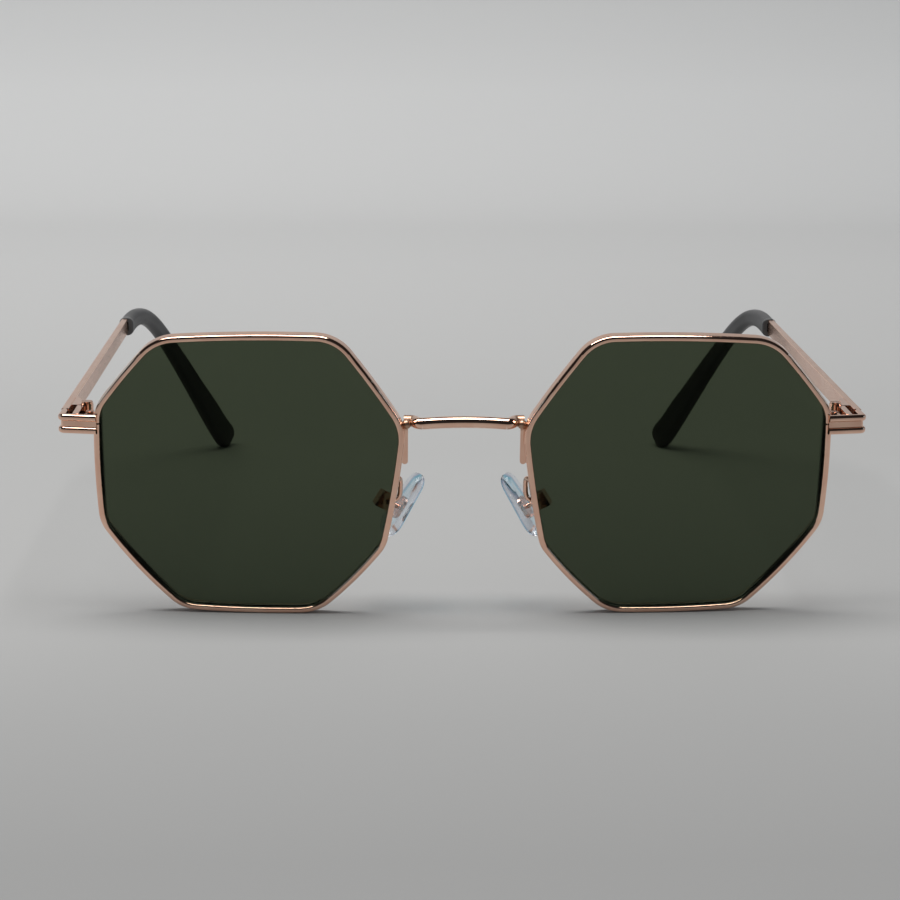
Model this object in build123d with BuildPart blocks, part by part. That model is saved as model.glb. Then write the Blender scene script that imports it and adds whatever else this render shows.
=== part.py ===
import os
from math import cos, hypot, radians, sin, sqrt

from build123d import *

os.makedirs("parts", exist_ok=True)

# All lengths are in millimetres. The front faces -Y, +X is to the right as seen from the front.
# The right-hand pieces are modelled and the left-hand pieces are their mirror images.

# Whole front
front_setback = 67.5
lens_gap = 23.6
lens_centre_height = 25.66
tilt_angle = 8
wrap_angle = 3
lens_curve_radius = 200.0
solid_overrun = 1.0

# Lens opening, an octagon with bowed sides and rounded corners
lens_width = 51.6
lens_height = 50.1
corner_radius = 6.6
side_bow = 0.4
corner_shares = [
    (-0.510, 0.177),
    (-0.442, -0.250),
    (-0.214, -0.500),
    (0.239, -0.492),
    (0.496, -0.175),
    (0.496, 0.236),
    (0.297, 0.482),
    (-0.293, 0.494),
]
corner_radius_shares = [1.2, 0.8, 1.1, 0.85, 0.9, 0.9, 1.2, 1.05]
side_bow_shares = [0.75, 1.2, 0.5, 1.5, 0.75, 0.75, 1.5, 0.9]

# Rim wire
rim_wall = 1.1
rim_depth = 2.3
rim_front_round = 0.5
rim_inner_round = 0.4
rim_rear_round = 0.3
rim_slot = 0.3
groove_depth = 0.5
groove_width = 0.7
groove_from_front = 0.8

# Lens
lens_thickness = 1.5
lens_recess = 0.4
lens_clearance = 0.02

# End piece, a strip between two ridges that turns the corner
end_piece_lift = 9.75
end_piece_reach = 7.1
end_piece_height = 3.4
end_piece_thickness = 1.25
end_piece_proud = 0.95
end_piece_rake = 1.1
end_piece_setin = 0.3
end_piece_bend = 1.3
end_piece_leg = 4.95
ridge_height = 1.2
ridge_proud = 0.45
ridge_round = 0.5

# Closing blocks and screw that hold the split rim shut
block_width = 1.7
block_depth = 2.7
block_height = 1.45
block_gap = 0.15
block_setout = 1.2
block_behind = 0.35
closing_shaft_radius = 0.45
closing_head_radius = 0.72
closing_head_height = 0.3

# Temple hinge
hinge_inset = 4.3
hinge_behind = 6.85
barrel_radius = 1.1
barrel_height = 3.85
barrel_lift = 0.1
knuckle_gap = 0.05
hinge_shaft_radius = 0.6
hinge_bore_clearance = 0.03
hinge_head_radius = 0.95
hinge_head_height = 0.35
screw_slot_width = 0.28
screw_slot_depth = 0.2
post_thickness = 1.05
post_overlap = 0.35
post_past_axis = 0.7
swing_clearance = 0.3
leaf_length = 8.0
leaf_tip_width = 0.5
leaf_root_offset = 0.45

# Temple bar
temple_thickness = 1.3
temple_rear_height = 3.25
temple_length = 90.5
temple_splay = 0.05
temple_edge_round = 0.22
butt_gap = 0.06
bar_in_sleeve = 2.0
core_height = 2.2
core_thickness = 0.9

# Temple tip
sleeve_inset = 0.35
sleeve_thickness = 3.0
tip_reach = 38.7
tip_inset = 18.8
tip_fall = 34.37
tip_height = 4.0
tip_thickness = 2.5
tip_paddle_height = 5.9
tip_paddle_thickness = 2.8
tip_edge_round = 0.25
corner_roundness_share = 0.44
# Each row holds the share of the reach, of the inset, of the fall, of the swelling to the paddle
# and of the sleeve's thickness.
tip_station_shares = [
    (0.000, 0.000, 0.000, 0.00, 1.00),
    (0.103, 0.037, -0.018, -0.10, 0.70),
    (0.206, 0.127, -0.022, -0.22, 0.30),
    (0.309, 0.230, 0.040, -0.25, 0.00),
    (0.412, 0.339, 0.157, -0.20, 0.00),
    (0.515, 0.451, 0.297, 0.00, 0.00),
    (0.618, 0.566, 0.446, 0.22, 0.00),
    (0.721, 0.682, 0.600, 0.50, 0.00),
    (0.824, 0.800, 0.754, 0.82, 0.00),
    (0.925, 0.917, 0.905, 1.00, 0.00),
    (0.975, 0.973, 0.967, 0.75, 0.00),
    (1.000, 1.000, 1.000, -0.20, 0.00),
]

# Bridge
bridge_radius = 1.03
bridge_lift = 10.1
bridge_arch = 0.3
bridge_behind = 1.7
bridge_crank = 3.4
bridge_bend_radius = 1.1
bridge_bend_angle = 90
bridge_overrun = 1.0
foot_width = 1.1
foot_depth = 1.5
foot_length = 7.6
foot_inset = 0.35
foot_behind = 3.0
solder_radius = 0.85
solder_inset = 0.6
solder_drop = 0.35
solder_behind = 2.7

# Nose pads
pad_inset = 1.07
pad_drop = 6.31
pad_behind = 9.2
pad_lean = 31.5
pad_splay = 15
pad_length = 12.8
pad_width = 7.2
pad_top_radius = 2.5
pad_thickness = 2.0
pad_edge_round = 0.85

# Pad insert, box and arm
box_distance = 3.3
box_shift = 0.74
box_length = 2.8
box_half_depth = 1.0
box_wall = 0.5
insert_plate_length = 4.4
insert_plate_width = 2.6
insert_plate_thickness = 0.5
stem_radius = 0.45
eye_radius = 0.8
eye_thickness = 0.9
eye_clearance = 0.05
pad_shaft_radius = 0.35
pad_bore_clearance = 0.03
pad_head_radius = 0.6
pad_head_height = 0.3
arm_wire_radius = 0.45
arm_bulge = 1.1
arm_foot_behind = 1.95
arm_foot_share = 0.54
# Each row holds the share of the bulge, of the way out to the box, of the way back and of the drop.
arm_path_shares = [
    (0.00, 0.00, 0.00, 0.00),
    (0.18, 0.00, 0.38, -0.36),
    (0.82, 0.00, 0.67, -0.40),
    (1.05, 0.05, 0.78, 0.14),
    (0.98, 0.25, 0.82, 0.72),
    (0.39, 0.75, 0.88, 0.98),
    (0.00, 1.00, 1.00, 1.00),
]

# Places worked out from the sizes above
front_y = -front_setback
lens_centre_x = (lens_gap + lens_width) / 2
half_width = lens_gap / 2 + lens_width + end_piece_reach
tilt = radians(tilt_angle)
wrap = radians(wrap_angle)
outward = Vector(cos(wrap), sin(wrap), 0)
upward = Vector(sin(wrap) * sin(tilt), -cos(wrap) * sin(tilt), cos(tilt))
lens_frame = Plane(
    origin=(lens_centre_x, front_y, lens_centre_height),
    x_dir=outward,
    z_dir=outward.cross(upward),
)
blank_depth = hypot(lens_width, lens_height) ** 2 / (8 * lens_curve_radius) + rim_depth
corners = [(x * lens_width, y * lens_height) for x, y in corner_shares]


def front_point(across, up, behind):
    sag = lens_curve_radius - sqrt(lens_curve_radius**2 - across**2 - up**2)
    return lens_frame.from_local_coords((across, up, -sag - behind))


hinge_centre_height = lens_centre_height + end_piece_lift
end_piece_bottom = hinge_centre_height - end_piece_height / 2
end_piece_top = hinge_centre_height + end_piece_height / 2
end_piece_inner_x = lens_centre_x + lens_width / 2 + end_piece_setin
end_piece_front_y = front_point(lens_width / 2, end_piece_lift, 0).Y - end_piece_proud
end_piece_outer_y = end_piece_front_y + end_piece_rake
butt_y = end_piece_outer_y + end_piece_leg
hinge_x = half_width - hinge_inset
hinge_y = end_piece_outer_y + hinge_behind
temple_start_x = half_width - temple_thickness / 2
temple_start_y = butt_y + butt_gap
sleeve_x = temple_start_x + temple_splay
sleeve_y = temple_start_y + temple_length
sleeve_z = hinge_centre_height
nasal_x = lens_gap / 2 - rim_wall
nasal_y = front_point(-lens_width / 2, bridge_lift, 0).Y
bridge_height = lens_centre_height + bridge_lift


# The opening and the outlines that follow it
with BuildSketch() as opening:
    with BuildLine():
        for index, start in enumerate(corners):
            end = corners[(index + 1) % len(corners)]
            length = hypot(end[0] - start[0], end[1] - start[1])
            bow = side_bow * side_bow_shares[index] / length
            middle_x = (start[0] + end[0]) / 2 + bow * (end[1] - start[1])
            middle_y = (start[1] + end[1]) / 2 - bow * (end[0] - start[0])
            ThreePointArc(start, (middle_x, middle_y), end)
    make_face()
    for corner, share in zip(corners, corner_radius_shares):
        fillet(opening.vertices().sort_by_distance(corner)[0], radius=corner_radius * share)


def grown_opening(growth):
    with BuildSketch() as grown:
        with BuildLine():
            for edge in opening.sketch.edges():
                centre = edge.arc_center
                grown_share = 1 + growth / edge.radius
                start, middle, end = [
                    centre + (edge @ share - centre) * grown_share for share in (0, 1 / 2, 1)
                ]
                ThreePointArc(start, middle, end)
        make_face()
    return grown.sketch


def curved_layer(outline, front_depth, rear_depth):
    with BuildPart() as layer:
        with BuildSketch(lens_frame.offset(solid_overrun)):
            add(outline)
        extrude(amount=-(blank_depth + 2 * solid_overrun))
        with Locations(lens_frame.offset(-lens_curve_radius)):
            Sphere(lens_curve_radius - front_depth, rotation=(90, 0, 0), mode=Mode.INTERSECT)
        with Locations(lens_frame.offset(-lens_curve_radius)):
            Sphere(lens_curve_radius - rear_depth, rotation=(90, 0, 0), mode=Mode.SUBTRACT)
    return layer.part


# Rim with its lens groove and the slot where it is split
groove_rear = groove_from_front + groove_width
rim_band = curved_layer(grown_opening(rim_wall) - opening.sketch, 0, rim_depth)
lens_groove = curved_layer(grown_opening(groove_depth), groove_from_front, groove_rear)

with BuildPart() as right_rim:
    add(rim_band)
    front_face = right_rim.faces().filter_by(GeomType.SPHERE).sort_by(Axis.Y)[0]
    fillet(front_face.outer_wire().edges(), radius=rim_front_round)
    front_face = right_rim.faces().filter_by(GeomType.SPHERE).sort_by(Axis.Y)[0]
    fillet(front_face.inner_wires()[0].edges(), radius=rim_inner_round)
    rear_face = right_rim.faces().filter_by(GeomType.SPHERE).sort_by(Axis.Y)[-1]
    fillet(rear_face.outer_wire().edges(), radius=rim_rear_round)
    add(lens_groove, mode=Mode.SUBTRACT)
    with Locations((lens_centre_x + lens_width / 2 + rim_wall / 2, front_y, hinge_centre_height)):
        Box(4 * rim_wall, 4 * blank_depth, rim_slot, mode=Mode.SUBTRACT)

# Lens with the tongue that sits in the groove
lens_body = curved_layer(grown_opening(-lens_clearance), lens_recess, lens_recess + lens_thickness)
tongue_front = groove_from_front + lens_clearance
tongue_rear = groove_rear - lens_clearance
lens_tongue = curved_layer(grown_opening(groove_depth - lens_clearance), tongue_front, tongue_rear)

with BuildPart() as right_lens:
    add(lens_body)
    add(lens_tongue)

# End piece
with BuildPart() as right_end_piece:
    ridge_middle = end_piece_thickness / 2
    ridge_offset = (end_piece_height - ridge_height) / 2
    for level in (-ridge_offset, 0, ridge_offset):
        with BuildLine(Plane.XY.offset(hinge_centre_height + level)) as bar_path:
            FilletPolyline(
                (end_piece_inner_x, end_piece_front_y + ridge_middle),
                (half_width - ridge_middle, end_piece_outer_y + ridge_middle),
                (half_width - ridge_middle, butt_y),
                radius=end_piece_bend - ridge_middle,
            )
        run = bar_path.line % 0
        section_plane = Plane(bar_path.line @ 0, x_dir=(run.Y, -run.X, 0), z_dir=run)
        with BuildSketch(section_plane):
            if level:
                RectangleRounded(end_piece_thickness, ridge_height, ridge_round)
            else:
                with Locations((-ridge_proud / 2, 0)):
                    Rectangle(end_piece_thickness - ridge_proud, end_piece_height - ridge_height)
        sweep()
    add(right_rim.part, mode=Mode.SUBTRACT)

# Closing blocks, brazed to the two ends of the rim, and their screw
block_x = lens_centre_x + lens_width / 2 + rim_wall + block_setout - rim_wall / 2
block_y = end_piece_outer_y + block_behind + block_depth / 2
block_step = (block_height + block_gap) / 2
closing_screw_y = block_y + (block_depth / 2 - closing_head_radius)


def closing_block(side):
    with Locations((block_x, block_y, hinge_centre_height + side * block_step)):
        Box(block_width, block_depth, block_height)
    with Locations((block_x, closing_screw_y, hinge_centre_height)):
        Cylinder(closing_shaft_radius, 2 * end_piece_height, mode=Mode.SUBTRACT)
    add(right_rim.part, mode=Mode.SUBTRACT)
    add(right_end_piece.part, mode=Mode.SUBTRACT)


with BuildPart() as right_upper_block:
    closing_block(1)

with BuildPart() as right_lower_block:
    closing_block(-1)

closing_bottom = hinge_centre_height - block_gap / 2 - block_height
closing_top = hinge_centre_height + block_gap / 2 + block_height
with BuildPart() as right_closing_screw:
    with BuildSketch(Plane.XY.offset(closing_bottom)):
        with Locations((block_x, closing_screw_y)):
            Circle(closing_shaft_radius)
    extrude(amount=closing_top - closing_bottom)
    with BuildSketch(Plane.XY.offset(closing_top)):
        with Locations((block_x, closing_screw_y)):
            Circle(closing_head_radius)
    extrude(amount=closing_head_height)
    with Locations((block_x, closing_screw_y, closing_top + closing_head_height)):
        Box(3 * closing_head_radius, screw_slot_width, 2 * screw_slot_depth, mode=Mode.SUBTRACT)

# Hinge levels
barrel_bottom = end_piece_bottom + barrel_lift
knuckle_height = (barrel_height - 2 * knuckle_gap) / 3
middle_bottom = barrel_bottom + knuckle_height + knuckle_gap
barrel_top = barrel_bottom + barrel_height
bore_radius = hinge_shaft_radius + hinge_bore_clearance
post_inner_x = hinge_x + barrel_radius - post_overlap
post_outer_x = post_inner_x + post_thickness
post_front_y = end_piece_outer_y + end_piece_thickness / 2
post_rear_y = hinge_y + post_past_axis
temple_inner_x = half_width - temple_thickness

# Front leaf, a post behind the end piece with the outer knuckles
with BuildPart() as right_front_leaf:
    with BuildSketch(Plane.XY.offset(barrel_bottom)):
        with Locations(((post_inner_x + post_outer_x) / 2, (post_front_y + post_rear_y) / 2)):
            Rectangle(post_thickness, post_rear_y - post_front_y)
    extrude(amount=end_piece_top - barrel_bottom)
    with Locations((hinge_x, hinge_y, barrel_bottom)):
        Cylinder(barrel_radius, barrel_height, align=(Align.CENTER, Align.CENTER, Align.MIN))
    with BuildSketch(Plane.XY.offset(middle_bottom - knuckle_gap)):
        with Locations((hinge_x, hinge_y)):
            Rectangle(2 * hinge_inset, 2 * (barrel_radius + swing_clearance))
    extrude(amount=knuckle_height + 2 * knuckle_gap, mode=Mode.SUBTRACT)
    with Locations((hinge_x, hinge_y, hinge_centre_height)):
        Cylinder(bore_radius, 2 * barrel_height, mode=Mode.SUBTRACT)
    add(right_end_piece.part, mode=Mode.SUBTRACT)

# Hinge screw
with BuildPart() as right_hinge_screw:
    with BuildSketch(Plane.XY.offset(barrel_bottom)):
        with Locations((hinge_x, hinge_y)):
            Circle(hinge_shaft_radius)
    extrude(amount=barrel_height)
    with BuildSketch(Plane.XY.offset(barrel_top)):
        with Locations((hinge_x, hinge_y)):
            Circle(hinge_head_radius)
    extrude(amount=hinge_head_height)
    with Locations((hinge_x, hinge_y, barrel_top + hinge_head_height)):
        Box(3 * hinge_head_radius, screw_slot_width, 2 * screw_slot_depth, mode=Mode.SUBTRACT)

# Stations along the temple tip
station_points = [
    Vector(sleeve_x - sleeve_inset - b * tip_inset, sleeve_y + a * tip_reach, sleeve_z - c * tip_fall)
    for a, b, c, swell, flare in tip_station_shares
]
bar_run = Vector(temple_splay, temple_length, 0).normalized()


def station_plane(index):
    if index == 0:
        run = bar_run
    elif index == len(station_points) - 1:
        run = (station_points[index] - station_points[index - 1]).normalized()
    else:
        run = (station_points[index + 1] - station_points[index - 1]).normalized()
    side = Vector(0, 0, 1).cross(run).normalized()
    return Plane(station_points[index], x_dir=run.cross(side), z_dir=run)


# Temple bar with the core that runs inside the tip
with BuildPart() as right_temple:
    with BuildSketch(Plane.XZ.offset(-temple_start_y)):
        with Locations((temple_start_x, hinge_centre_height)):
            RectangleRounded(temple_thickness, end_piece_height, temple_edge_round)
    with BuildSketch(Plane.XZ.offset(-sleeve_y - bar_in_sleeve)):
        with Locations((sleeve_x, sleeve_z)):
            RectangleRounded(temple_thickness, temple_rear_height, temple_edge_round)
    loft(ruled=True)
    for index in range(len(station_points) - 4):
        with BuildSketch(station_plane(index)):
            RectangleRounded(core_height, core_thickness, core_thickness * corner_roundness_share)
    loft()

# Temple leaf, the middle knuckle and a wedge along the temple's inner face
leaf_root_y = hinge_y + barrel_radius + leaf_root_offset
leaf_end_y = hinge_y + leaf_length
splay_share = (leaf_end_y - temple_start_y) / temple_length
leaf_end_x = temple_inner_x + temple_splay * splay_share
leaf_front_x = temple_inner_x + temple_splay * (hinge_y - temple_start_y) / temple_length
with BuildPart() as right_temple_leaf:
    with BuildSketch(Plane.XY.offset(middle_bottom)):
        with BuildLine():
            Polyline(
                (hinge_x, hinge_y - barrel_radius),
                (leaf_front_x, hinge_y - barrel_radius),
                (leaf_end_x, leaf_end_y),
                (leaf_end_x - leaf_tip_width, leaf_end_y),
                (hinge_x, leaf_root_y),
                close=True,
            )
        make_face()
        with Locations((hinge_x, hinge_y)):
            Circle(barrel_radius)
    extrude(amount=knuckle_height)
    with BuildSketch(Plane.XY.offset(barrel_bottom)):
        with BuildLine():
            Polyline(
                (hinge_x + leaf_root_offset, leaf_root_y),
                (leaf_front_x, leaf_root_y),
                (leaf_end_x, leaf_end_y),
                (leaf_end_x - leaf_tip_width, leaf_end_y),
                close=True,
            )
        make_face()
    extrude(amount=end_piece_top - barrel_bottom - barrel_lift)
    with Locations((hinge_x, hinge_y, hinge_centre_height)):
        Cylinder(bore_radius, 2 * barrel_height, mode=Mode.SUBTRACT)
    add(right_temple.part, mode=Mode.SUBTRACT)

# Temple tip, a sleeve that swells into a paddle
with BuildPart() as right_tip:
    for index, row in enumerate(tip_station_shares):
        height = tip_height + row[3] * (tip_paddle_height - tip_height)
        thickness = tip_thickness + row[3] * (tip_paddle_thickness - tip_thickness)
        thickness += row[4] * (sleeve_thickness - tip_thickness)
        if index == len(tip_station_shares) - 1:
            height = tip_height / 2
            thickness = tip_thickness / 2
        with BuildSketch(station_plane(index)):
            RectangleRounded(height, thickness, thickness * corner_roundness_share)
    loft()
    front_edges = right_tip.faces().sort_by(Axis.Y)[0].edges()
    fillet(front_edges, radius=tip_edge_round)
    add(right_temple.part, mode=Mode.SUBTRACT)

# Bridge bar with cranked ends, its feet on the rims and the solder beside them
bend = radians(bridge_bend_angle)
bend_run = bridge_bend_radius * sin(bend)
bend_rise = bridge_bend_radius * (1 - cos(bend))
mid_run = bridge_bend_radius * sin(bend / 2)
mid_rise = bridge_bend_radius * (1 - cos(bend / 2))
bridge_straight = nasal_x - bridge_crank
bridge_y = nasal_y + bridge_behind
elbow_x = bridge_straight + bend_run
elbow_y = bridge_y + bend_rise
bridge_end_x = bridge_straight + 2 * bend_run
bridge_end_y = bridge_y + 2 * bend_rise
foot_centre = nasal_x - foot_inset
foot_y = nasal_y + foot_behind
with BuildPart() as bridge_half:
    with BuildLine(Plane.XY.offset(bridge_height)) as crank_path:
        ThreePointArc(
            (bridge_straight, bridge_y),
            (bridge_straight + mid_run, bridge_y + mid_rise),
            (elbow_x, elbow_y),
        )
        ThreePointArc(
            (elbow_x, elbow_y),
            (bridge_end_x - mid_run, bridge_end_y - mid_rise),
            (bridge_end_x, bridge_end_y),
        )
        Line((bridge_end_x, bridge_end_y), (bridge_end_x + bridge_overrun, bridge_end_y))
    with BuildSketch(Plane((bridge_straight, bridge_y, bridge_height), z_dir=(1, 0, 0))):
        Circle(bridge_radius)
    sweep()
    foot_frame = Plane(
        origin=(foot_centre, foot_y, bridge_height), x_dir=(1, 0, 0), z_dir=(0, -cos(tilt), -sin(tilt))
    )
    with BuildSketch(foot_frame):
        with Locations((0, -foot_length / 2)):
            SlotOverall(foot_length, foot_width, rotation=90)
    extrude(amount=foot_depth / 2, both=True)
    with Locations((nasal_x - solder_inset, nasal_y + solder_behind, bridge_height - solder_drop)):
        Sphere(solder_radius)
    add(right_rim.part, mode=Mode.SUBTRACT)

with BuildPart() as bridge:
    with BuildLine(Plane.XZ.offset(-bridge_y)) as arch_path:
        ThreePointArc(
            (-bridge_straight, bridge_height),
            (0, bridge_height + bridge_arch),
            (bridge_straight, bridge_height),
        )
    with BuildSketch(Plane(arch_path.line @ 0, z_dir=arch_path.line % 0)):
        Circle(bridge_radius)
    sweep()
    add(bridge_half.part)
    mirror(bridge_half.part, about=Plane.YZ)

# Frame of the nose pad: x runs down its length, y across its width, z towards its box
lean = radians(pad_lean)
splay = radians(pad_splay)
pad_down = Vector(sin(lean), 0, -cos(lean))
pad_square = Vector(cos(lean), 0, sin(lean))
pad_back = Vector(0, cos(splay), 0) + pad_square * sin(splay)
pad_away = pad_down.cross(pad_back)
pad_origin = Vector(lens_gap / 2 - pad_inset, nasal_y + pad_behind, lens_centre_height - pad_drop)
pad_frame = Plane(pad_origin, x_dir=pad_down, z_dir=pad_away)
box_origin = pad_origin + pad_away * box_distance + pad_down * box_shift
box_frame = Plane(box_origin, x_dir=pad_down, z_dir=pad_back)
box_inner_depth = eye_thickness + 2 * eye_clearance
box_outer_depth = box_inner_depth + 2 * box_wall

# Pad insert: a plate inside the pad, a stem and the eye on the box screw
with BuildPart() as right_insert:
    with BuildSketch(pad_frame.offset(-insert_plate_thickness / 2)):
        with Locations((box_shift, 0)):
            SlotOverall(insert_plate_length, insert_plate_width)
    extrude(amount=insert_plate_thickness)
    with BuildSketch(pad_frame):
        with Locations((box_shift, 0)):
            Circle(stem_radius)
    extrude(amount=box_distance)
    with BuildSketch(box_frame.offset(-eye_thickness / 2)):
        Circle(eye_radius)
    extrude(amount=eye_thickness)
    with BuildSketch(box_frame.offset(-box_outer_depth)):
        Circle(pad_shaft_radius + pad_bore_clearance)
    extrude(amount=2 * box_outer_depth, mode=Mode.SUBTRACT)

with BuildPart() as right_pad:
    with BuildSketch(pad_frame.offset(-pad_thickness / 2)):
        with Locations(((pad_length - pad_width) / 2, 0)):
            Circle(pad_width / 2)
        with Locations((pad_top_radius - pad_length / 2, 0)):
            Circle(pad_top_radius)
        make_hull()
    extrude(amount=pad_thickness)
    fillet(right_pad.edges(), radius=pad_edge_round)
    add(right_insert.part, mode=Mode.SUBTRACT)

# Pad arm: a bent wire from the rim to the box that holds the pad
arm_side_start, arm_side_end = Vector(*corners[0]), Vector(*corners[1])
arm_side_point = arm_side_start + (arm_side_end - arm_side_start) * arm_foot_share
arm_side_x = arm_side_point.X - side_bow * side_bow_shares[0] - rim_wall / 2
arm_start = front_point(arm_side_x, arm_side_point.Y, arm_foot_behind)
arm_way = box_origin - pad_back * (box_inner_depth + box_wall) / 2 - arm_start
with BuildPart() as right_arm:
    with BuildLine() as arm_path:
        Spline(
            *[
                arm_start + Vector(out * arm_way.X - bulge * arm_bulge, back * arm_way.Y, drop * arm_way.Z)
                for bulge, out, back, drop in arm_path_shares
            ]
        )
    with BuildSketch(Plane(arm_path.line @ 0, z_dir=arm_path.line % 0)):
        Circle(arm_wire_radius)
    sweep()
    with BuildSketch(box_frame.offset(-box_outer_depth / 2)):
        with Locations((0, -box_wall / 2)):
            Rectangle(box_length, 2 * box_half_depth + box_wall)
    extrude(amount=box_outer_depth)
    with BuildSketch(box_frame.offset(-box_inner_depth / 2)):
        with Locations((0, box_half_depth)):
            Rectangle(2 * box_length, 4 * box_half_depth)
    extrude(amount=box_inner_depth, mode=Mode.SUBTRACT)
    with BuildSketch(box_frame.offset(-box_outer_depth)):
        Circle(pad_shaft_radius)
    extrude(amount=2 * box_outer_depth, mode=Mode.SUBTRACT)
    add(right_rim.part, mode=Mode.SUBTRACT)
    add(right_lens.part, mode=Mode.SUBTRACT)

# Pad screw
with BuildPart() as right_pad_screw:
    with BuildSketch(box_frame.offset(-box_outer_depth / 2)):
        Circle(pad_shaft_radius)
    extrude(amount=box_outer_depth)
    with BuildSketch(box_frame.offset(box_outer_depth / 2)):
        Circle(pad_head_radius)
    extrude(amount=pad_head_height)


def place_pair(right_piece, name):
    right_piece.part.label = "right_" + name
    export_step(right_piece.part, "parts/right_" + name + ".step")
    with BuildPart() as left_piece:
        mirror(right_piece.part, about=Plane.YZ)
    left_piece.part.label = "left_" + name
    export_step(left_piece.part, "parts/left_" + name + ".step")


place_pair(right_rim, "rim")
place_pair(right_lens, "lens")
place_pair(right_end_piece, "end_piece")
place_pair(right_upper_block, "upper_closing_block")
place_pair(right_lower_block, "lower_closing_block")
place_pair(right_front_leaf, "front_hinge_leaf")
place_pair(right_temple_leaf, "temple_hinge_leaf")
place_pair(right_temple, "temple")
place_pair(right_tip, "temple_tip")
place_pair(right_insert, "pad_insert")
place_pair(right_pad, "nose_pad")
place_pair(right_arm, "pad_arm")

bridge.part.label = "bridge"
export_step(bridge.part, "parts/bridge.step")

for screw, name in (
    (right_closing_screw, "closing_screws"),
    (right_hinge_screw, "hinge_screws"),
    (right_pad_screw, "pad_screws"),
):
    with BuildPart() as screws:
        add(screw.part)
        mirror(screw.part, about=Plane.YZ)
    screws.part.label = name
    export_step(screws.part, "parts/" + name + ".step")
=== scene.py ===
import math

import bmesh
import bpy
from mathutils import Euler, Matrix, Vector

print("stage: frame")
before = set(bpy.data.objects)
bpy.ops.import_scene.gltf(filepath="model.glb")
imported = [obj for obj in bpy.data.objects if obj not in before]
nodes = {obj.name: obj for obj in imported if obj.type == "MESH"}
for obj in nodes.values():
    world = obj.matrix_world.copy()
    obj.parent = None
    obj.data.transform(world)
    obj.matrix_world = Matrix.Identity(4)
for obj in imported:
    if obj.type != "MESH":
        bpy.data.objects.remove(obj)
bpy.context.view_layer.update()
sides = ("right", "left")


def linkObject(name, data):
    item = bpy.data.objects.new(name, data)
    bpy.context.scene.collection.objects.link(item)
    return item


cameraSet = {
    "place": (-0.0135, -0.43886, 0.11968),
    "yaw": 1.694,  # degrees towards +X
    "pitch": 13.386,  # degrees down
    "roll": 0.41,  # degrees
    "focal": 88.0,  # millimetres
    "sensor": 36.0,  # millimetres
    "clipNear": 0.01,
    "clipFar": 20.0,
}


def makeCamera(values):
    data = bpy.data.cameras.new("camera")
    data.sensor_width = values["sensor"]
    data.lens = values["focal"]
    data.clip_start = values["clipNear"]
    data.clip_end = values["clipFar"]
    camera = linkObject("camera", data)
    lift = math.radians(90 - values["pitch"])  # an unturned camera looks straight down
    turn = Euler((lift, 0, -math.radians(values["yaw"]))).to_matrix().to_4x4()
    tilt = Matrix.Rotation(math.radians(values["roll"]), 4, "Z")
    camera.matrix_world = Matrix.Translation(values["place"]) @ turn @ tilt
    bpy.context.scene.camera = camera


print("stage: camera")
makeCamera(cameraSet)


def newMaterial(name):
    material = bpy.data.materials.new(name)
    material.use_nodes = True
    tree = material.node_tree
    shader = tree.nodes["Principled BSDF"]
    return material, tree, shader


def feed(tree, source, socket):
    # a socket takes a link, a colour or a number
    if isinstance(source, bpy.types.NodeSocket):
        tree.links.new(source, socket)
    elif isinstance(source, tuple):
        socket.default_value = (*source, 1)
    else:
        socket.default_value = source


def mathNode(tree, operation, *sources):
    node = tree.nodes.new("ShaderNodeMath")
    node.operation = operation
    for source, socket in zip(sources, node.inputs):
        feed(tree, source, socket)
    return node.outputs["Value"]


# where a Mix node keeps its sockets for each kind of value
mixSockets = {
    "FLOAT": {"first": 2, "second": 3, "mixed": 0},
    "RGBA": {"first": 6, "second": 7, "mixed": 2},
}


def mixNode(tree, kind, share, first, second):
    node = tree.nodes.new("ShaderNodeMix")
    node.data_type = kind
    sockets = mixSockets[kind]
    feed(tree, share, node.inputs["Factor"])
    feed(tree, first, node.inputs[sockets["first"]])
    feed(tree, second, node.inputs[sockets["second"]])
    return node.outputs[sockets["mixed"]]


def objectAxes(tree):
    # where a point lies along X, Y and Z
    coord = tree.nodes.new("ShaderNodeTexCoord")
    split = tree.nodes.new("ShaderNodeSeparateXYZ")
    tree.links.new(coord.outputs["Object"], split.inputs["Vector"])
    return split.outputs


def foldedPlace(tree, axes):
    # one place for the right piece and its mirror image
    folded = tree.nodes.new("ShaderNodeCombineXYZ")
    feed(tree, mathNode(tree, "ABSOLUTE", axes["X"]), folded.inputs["X"])
    feed(tree, axes["Y"], folded.inputs["Y"])
    feed(tree, axes["Z"], folded.inputs["Z"])
    return folded.outputs["Vector"]


def distancePast(tree, place, start, normal):
    # how far a place lies past the plane through start
    dot = tree.nodes.new("ShaderNodeVectorMath")
    dot.operation = "DOT_PRODUCT"
    dot.inputs[1].default_value = normal
    tree.links.new(place, dot.inputs[0])
    return mathNode(tree, "SUBTRACT", dot.outputs["Value"], normal.dot(start))


def objectNoise(tree, scale, detail, roughness=0.5, stretch=(1, 1, 1)):
    # noise on Object coordinates, stretched along an axis where the finish has a grain
    coord = tree.nodes.new("ShaderNodeTexCoord")
    mapping = tree.nodes.new("ShaderNodeMapping")
    mapping.inputs["Scale"].default_value = stretch
    noise = tree.nodes.new("ShaderNodeTexNoise")
    noise.inputs["Scale"].default_value = scale
    noise.inputs["Detail"].default_value = detail
    noise.inputs["Roughness"].default_value = roughness
    tree.links.new(coord.outputs["Object"], mapping.inputs["Vector"])
    tree.links.new(mapping.outputs["Vector"], noise.inputs["Vector"])
    return noise.outputs["Fac"]


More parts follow.
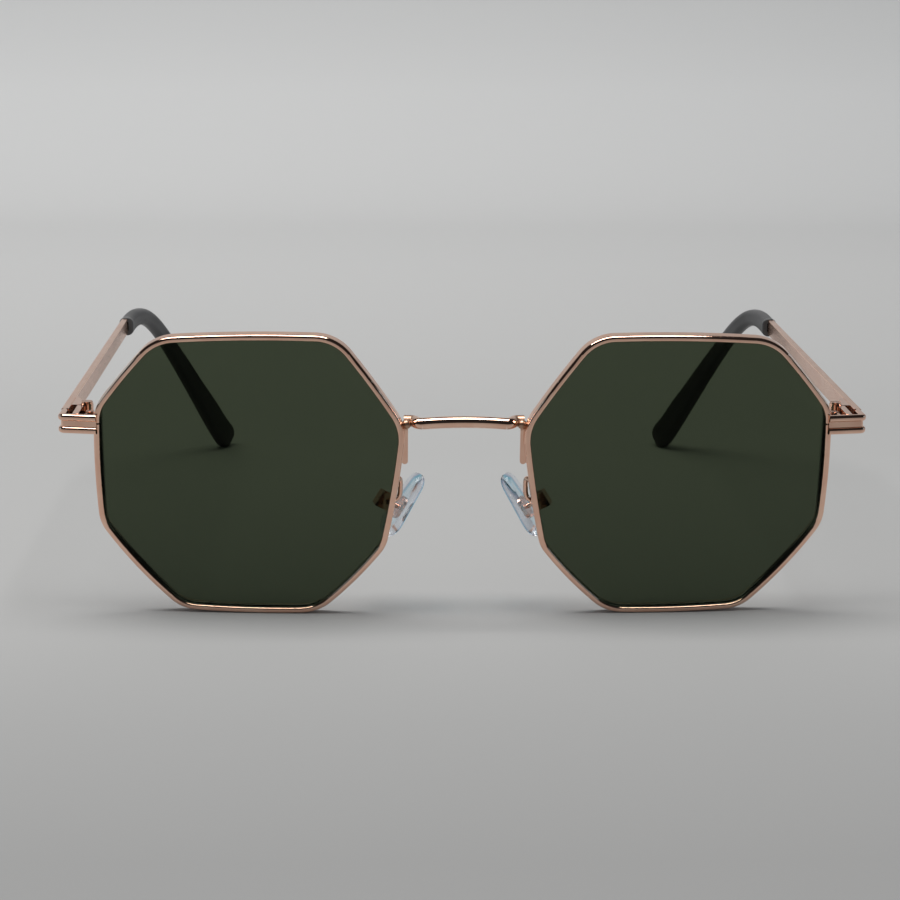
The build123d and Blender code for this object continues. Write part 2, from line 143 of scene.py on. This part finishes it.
def colourRamp(tree, source, stops):
    ramp = tree.nodes.new("ShaderNodeValToRGB")
    points = ramp.color_ramp.elements
    while len(points) < len(stops):
        points.new(1)
    for point, (position, colour) in zip(points, stops):
        point.position = position
        point.color = (*colour, 1)
    tree.links.new(source, ramp.inputs["Fac"])
    return ramp.outputs["Color"]


noiseSpan = (0.3, 0.7)  # most of a noise lies between these


def valueRange(tree, source, toSpan, fromSpan=noiseSpan):
    spread = tree.nodes.new("ShaderNodeMapRange")
    spread.inputs["From Min"].default_value, spread.inputs["From Max"].default_value = fromSpan
    spread.inputs["To Min"].default_value, spread.inputs["To Max"].default_value = toSpan
    tree.links.new(source, spread.inputs["Value"])
    return spread.outputs["Result"]


def bumpFrom(tree, source, shader, distance, strength):
    bump = tree.nodes.new("ShaderNodeBump")
    bump.inputs["Distance"].default_value = distance
    bump.inputs["Strength"].default_value = strength
    tree.links.new(source, bump.inputs["Height"])
    tree.links.new(bump.outputs["Normal"], shader.inputs["Normal"])


platingSet = {
    "deep": (0.84, 0.52, 0.39),
    "pale": (0.90, 0.60, 0.46),
    "deepUpTo": 0.35,
    "paleFrom": 0.65,
    "cloud": {"scale": 260, "detail": 4},
    "scratch": {"scale": 2400, "detail": 5, "roughness": 0.6},
    "rough": (0.035, 0.085),
    "bump": {"distance": 0.000005, "strength": 0.25},
}

# the temple bars are brushed along their length
barSet = dict(
    platingSet,
    scratch=dict(platingSet["scratch"], stretch=(1, 0.1, 1)),
    rough=(0.16, 0.26),
    bump=dict(platingSet["bump"], strength=0.4),
)

screwSet = dict(platingSet, deep=(0.74, 0.44, 0.31), pale=(0.88, 0.58, 0.44), rough=(0.1, 0.2))


def platingMaterial(name, values):
    material, tree, shader = newMaterial(name)
    shader.inputs["Metallic"].default_value = 1
    cloud = objectNoise(tree, **values["cloud"])
    stops = [(values["deepUpTo"], values["deep"]), (values["paleFrom"], values["pale"])]
    feed(tree, colourRamp(tree, cloud, stops), shader.inputs["Base Color"])
    scratch = objectNoise(tree, **values["scratch"])
    feed(tree, valueRange(tree, scratch, values["rough"]), shader.inputs["Roughness"])
    bumpFrom(tree, scratch, shader, **values["bump"])
    return material


# the end of the bar's flat core inside the sleeve, with painted shade: black and dull
sleeveShadeSet = {
    "dark": (0.003, 0.003, 0.003),
    "dull": 0.5,
    "share": 1.0,
    "fade": 0.00004,
    "startY": 0.02995,
}

# the drops of braze at the two ends of the bridge, duller, and darkened with painted shade
brazeAndShadeSet = {
    "dark": (0.40, 0.25, 0.17),
    "dull": 0.42,
    "share": 0.85,
    "fade": 0.0007,
    "startX": 0.0086,
    "startZ": 0.0342,
}


def shadeAndDullPast(tree, depth, values):
    # paints shade on the plating and dulls it where the depth is above zero
    shader = tree.nodes["Principled BSDF"]
    colour, rough = shader.inputs["Base Color"], shader.inputs["Roughness"]
    share = valueRange(tree, depth, (0, values["share"]), (0, values["fade"]))
    feed(tree, mixNode(tree, "RGBA", share, colour.links[0].from_socket, values["dark"]), colour)
    feed(tree, mixNode(tree, "FLOAT", share, rough.links[0].from_socket, values["dull"]), rough)


def barMaterial(name, values, sleeveShade):
    material = platingMaterial(name, values)
    tree = material.node_tree
    depth = mathNode(tree, "SUBTRACT", objectAxes(tree)["Y"], sleeveShade["startY"])
    # painted shade on the bar's core where it runs into the sleeve
    shadeAndDullPast(tree, depth, sleeveShade)
    return material


def bridgeMaterial(name, values, brazeAndShade):
    material = platingMaterial(name, values)
    tree = material.node_tree
    axes = objectAxes(tree)
    outwards = mathNode(tree, "SUBTRACT", mathNode(tree, "ABSOLUTE", axes["X"]), brazeAndShade["startX"])
    upwards = mathNode(tree, "SUBTRACT", axes["Z"], brazeAndShade["startZ"])
    # painted shade and a duller finish on the braze at the bridge's upper outer ends
    shadeAndDullPast(tree, mathNode(tree, "MINIMUM", outwards, upwards), brazeAndShade)
    return material


lensSet = {
    "tintTop": (0.071, 0.088, 0.056),
    "tintBottom": (0.056, 0.070, 0.045),
    "tintHeights": (0.004, 0.03),  # from the bottom tint to the top tint
    "ior": 1.1,  # low, for a coating that takes away the glare
    "smear": {"scale": 90, "detail": 3, "stretch": (1, 1, 2)},
    "smearSpan": (0.45, 0.8),
    "rough": (0.0, 0.006),
    # the colour of the painted shadow along the lower and outer sides
    "edgeShadowColour": (0.0015, 0.002, 0.0015),
    "edgeWidth": 0.0001,
    "edgeFade": 0.0004,
    "cornerBlend": 0.002,
    "centre": (0.0376, 0.02566),
    # from the centre, along the lower and outer sides
    "lowerCorners": [(-0.0110, -0.0248), (0.0123, -0.0244), (0.0256, -0.0087), (0.0256, 0.0117)],
}


def edgeDistance(tree, place, values):
    # below zero inside the lower and outer sides of the lens, zero on them
    middleX, middleZ = values["centre"]
    corners = [Vector((middleX + x, 0, middleZ + z)) for x, z in values["lowerCorners"]]
    nearest = None
    for start, end in zip(corners, corners[1:]):
        normal = Vector((end.z - start.z, 0, start.x - end.x)).normalized()
        past = distancePast(tree, place, start, normal)
        if nearest is not None:
            past = mathNode(tree, "SMOOTH_MAX", nearest, past, values["cornerBlend"])
        nearest = past
    return nearest


def lensMaterial(name, values):
    material, tree, shader = newMaterial(name)
    shader.inputs["Transmission Weight"].default_value = 1
    shader.inputs["IOR"].default_value = values["ior"]
    # the lens is a little darker at the bottom
    axes = objectAxes(tree)
    height = valueRange(tree, axes["Z"], (0, 1), values["tintHeights"])
    tint = colourRamp(tree, height, [(0, values["tintBottom"]), (1, values["tintTop"])])
    # a painted shadow of the groove darkens the lens along its lower and outer sides
    edge = edgeDistance(tree, foldedPlace(tree, axes), values)
    bandStart = -values["edgeWidth"] - values["edgeFade"]
    band = valueRange(tree, edge, (0, 1), (bandStart, -values["edgeWidth"]))
    feed(tree, mixNode(tree, "RGBA", band, tint, values["edgeShadowColour"]), shader.inputs["Base Color"])
    smear = objectNoise(tree, **values["smear"])
    rough = valueRange(tree, smear, values["rough"], values["smearSpan"])
    feed(tree, rough, shader.inputs["Roughness"])
    return material


tipSet = {
    "black": (0.002, 0.002, 0.0025),
    "dustAndSheenGrey": (0.085, 0.085, 0.087),
    "dustAndSheenHeights": (0.022, 0.036),  # from clean black to dust and painted sheen
    "haze": {"scale": 140, "detail": 4},
    "hazeShares": (0.5, 1),
    "grain": {"scale": 1800, "detail": 3, "roughness": 0.6},
    "rough": (0.28, 0.42),
    "bump": {"distance": 0.00002, "strength": 0.2},
}


def tipMaterial(name, values):
    material, tree, shader = newMaterial(name)
    # the arch on top is dull and greyer, with fine dust and a painted sheen of the light from
    # above, and the paddle below it is clean
    height = valueRange(tree, objectAxes(tree)["Z"], (0, 1), values["dustAndSheenHeights"])
    haze = valueRange(tree, objectNoise(tree, **values["haze"]), values["hazeShares"])
    dustAndSheen = mathNode(tree, "MULTIPLY", height, haze)
    colour = colourRamp(tree, dustAndSheen, [(0, values["black"]), (1, values["dustAndSheenGrey"])])
    feed(tree, colour, shader.inputs["Base Color"])
    grain = objectNoise(tree, **values["grain"])
    feed(tree, valueRange(tree, grain, values["rough"]), shader.inputs["Roughness"])
    bumpFrom(tree, grain, shader, **values["bump"])
    return material


padSet = {
    "centre": (0.01072, -0.0592, 0.01934),
    "towardsNose": (-0.8235, 0.2588, -0.5049),
    "sideSpan": (-0.0002, 0.0010),  # from the centre towards the nose
    # from the back of the pad to the side that lies on the nose: clear, then a painted lilac and
    # blue reflection and a pale painted highlight on the edge
    "clearToHighlightShades": [
        (0, (0.90, 0.93, 0.98)),
        (0.4, (0.90, 0.93, 0.98)),
        (0.55, (0.50, 0.50, 0.66)),
        (0.75, (0.10, 0.46, 0.68)),
        (1, (0.62, 0.86, 0.97)),
    ],
    "ior": 1.1,
    "coat": 0.35,
    "cloud": {"scale": 420, "detail": 3},
    "rough": (0.04, 0.12),
}


def padMaterial(name, values):
    material, tree, shader = newMaterial(name)
    shader.inputs["Transmission Weight"].default_value = 1
    shader.inputs["IOR"].default_value = values["ior"]
    shader.inputs["Coat Weight"].default_value = values["coat"]
    # the side towards the nose gets a painted blue reflection and highlight along its edge
    place = foldedPlace(tree, objectAxes(tree))
    depth = distancePast(tree, place, Vector(values["centre"]), Vector(values["towardsNose"]))
    side = valueRange(tree, depth, (0, 1), values["sideSpan"])
    feed(tree, colourRamp(tree, side, values["clearToHighlightShades"]), shader.inputs["Base Color"])
    cloud = objectNoise(tree, **values["cloud"])
    feed(tree, valueRange(tree, cloud, values["rough"]), shader.inputs["Roughness"])
    return material


print("stage: materials")
plating = platingMaterial("roseGoldPlating", platingSet)
barPlating = barMaterial("roseGoldBar", barSet, sleeveShadeSet)
bridgePlating = bridgeMaterial("roseGoldBridge", platingSet, brazeAndShadeSet)
screwPlating = platingMaterial("roseGoldScrew", screwSet)
lensTint = lensMaterial("greenLensTint", lensSet)
tipBlack = tipMaterial("blackTip", tipSet)
padClear = padMaterial("clearPad", padSet)


def dress(node, material):
    for slot in nodes[node].material_slots:
        slot.material = material


for side in sides:
    for name in ("rim", "end_piece", "upper_closing_block", "lower_closing_block"):
        dress(f"{side}_{name}", plating)
    for name in ("front_hinge_leaf", "temple_hinge_leaf", "pad_insert", "pad_arm"):
        dress(f"{side}_{name}", plating)
    dress(f"{side}_temple", barPlating)
    dress(f"{side}_lens", lensTint)
    dress(f"{side}_temple_tip", tipBlack)
    dress(f"{side}_nose_pad", padClear)
dress("bridge", bridgePlating)
for name in ("closing_screws", "hinge_screws", "pad_screws"):
    dress(name, screwPlating)


floorSet = {
    # depth and painted shade, from the camera's side to the wall: the grey stands in for the fall
    # of light, darker near the camera
    "shades": [
        (-0.17, 0.25),
        (-0.12, 0.285),
        (-0.08, 0.32),
        (-0.03, 0.34),
        (0.1, 0.365),
        (0.35, 0.5),
        (0.565, 0.59),
        (0.6, 0.55),
    ],
    "rough": 0.9,
    "specular": 0.1,
    "width": 5.2,
    "front": -2.6,
    "back": 0.6,  # where the wall stands
    "wallHeight": 1.0,
    "bendRadius": 0.14,
    "bendSteps": 12,
}


def makeFloor(values):
    # a floor that bends up into a wall
    shape = bmesh.new()
    left, front, back = -values["width"] / 2, values["front"], values["back"]
    profile = [(front, 0), (back, 0), (back, values["wallHeight"])]
    row = [shape.verts.new((left, y, z)) for y, z in profile]
    edges = [shape.edges.new(pair) for pair in zip(row, row[1:])]
    grown = bmesh.ops.extrude_edge_only(shape, edges=edges)
    moved = [item for item in grown["geom"] if isinstance(item, bmesh.types.BMVert)]
    bmesh.ops.translate(shape, verts=moved, vec=(values["width"], 0, 0))
    # the corner between the floor and the wall is the edge that both faces share
    fold = [edge for edge in shape.edges if len(edge.link_faces) == 2]
    bmesh.ops.bevel(
        shape,
        geom=fold,
        offset=values["bendRadius"],
        segments=values["bendSteps"],
        profile=0.5,
        affect="EDGES",
        material=-1,
    )
    bmesh.ops.recalc_face_normals(shape, faces=shape.faces)
    for face in shape.faces:
        face.smooth = True
    mesh = bpy.data.meshes.new("floor")
    shape.to_mesh(mesh)
    shape.free()
    return linkObject("floor", mesh)


def floorMaterial(name, values):
    material, tree, shader = newMaterial(name)
    shades = values["shades"]
    near, far = shades[0][0], shades[-1][0]
    # the grey by depth is painted shade for the fall of light across the floor
    depth = valueRange(tree, objectAxes(tree)["Y"], (0, 1), (near, far))
    stops = [((place - near) / (far - near), (shade, shade, shade)) for place, shade in shades]
    feed(tree, colourRamp(tree, depth, stops), shader.inputs["Base Color"])
    shader.inputs["Roughness"].default_value = values["rough"]
    shader.inputs["Specular IOR Level"].default_value = values["specular"]
    return material


print("stage: floor")
floor = makeFloor(floorSet)
floor.data.materials.append(floorMaterial("paleFloor", floorSet))


fillSet = {
    "place": (1.1, -0.08, 0.3),
    "aim": (0, 0, 0.02),
    "size": (0.4, 0.3),
    "power": 0.55,
    "colour": (0.5, 0.78, 1.0),
}

lightSet = {
    "top": {
        "place": (-0.17, -0.13, 0.85),
        "aim": (-0.17, -0.1, 0),
        "size": (0.84, 0.44),
        "power": 10.0,
        "colour": (1, 0.99, 0.97),
    },
    "leftFill": dict(fillSet, place=(-1.1, -0.08, 0.3)),
    "rightFill": fillSet,
}


def makeLight(name, values):
    data = bpy.data.lights.new(name, "AREA")
    data.shape = "RECTANGLE"
    data.size, data.size_y = values["size"]
    data.energy = values["power"]
    data.color = values["colour"]
    light = linkObject(name, data)
    aim = Vector(values["aim"]) - Vector(values["place"])
    turn = aim.to_track_quat("-Z", "Y").to_matrix().to_4x4()
    light.matrix_world = Matrix.Translation(values["place"]) @ turn


print("stage: lights")
for name, values in lightSet.items():
    makeLight(name, values)


roomSet = {"soft": (0.3, 0.305, 0.31), "dark": (0.02, 0.02, 0.022)}


def makeRoom(values):
    # soft light from all around, which the camera, mirrors and glass see as a dark room
    world = bpy.data.worlds.new("room")
    world.use_nodes = True
    tree = world.node_tree
    rays = tree.nodes.new("ShaderNodeLightPath").outputs
    seen = mathNode(tree, "MAXIMUM", rays["Is Camera Ray"], rays["Is Glossy Ray"])
    seen = mathNode(tree, "MAXIMUM", seen, rays["Is Transmission Ray"])
    light = mixNode(tree, "RGBA", seen, values["soft"], values["dark"])
    feed(tree, light, tree.nodes["Background"].inputs["Color"])
    bpy.context.scene.world = world


print("stage: room")
makeRoom(roomSet)
bpy.context.scene.view_settings.view_transform = "Standard"

print("stage: finish")
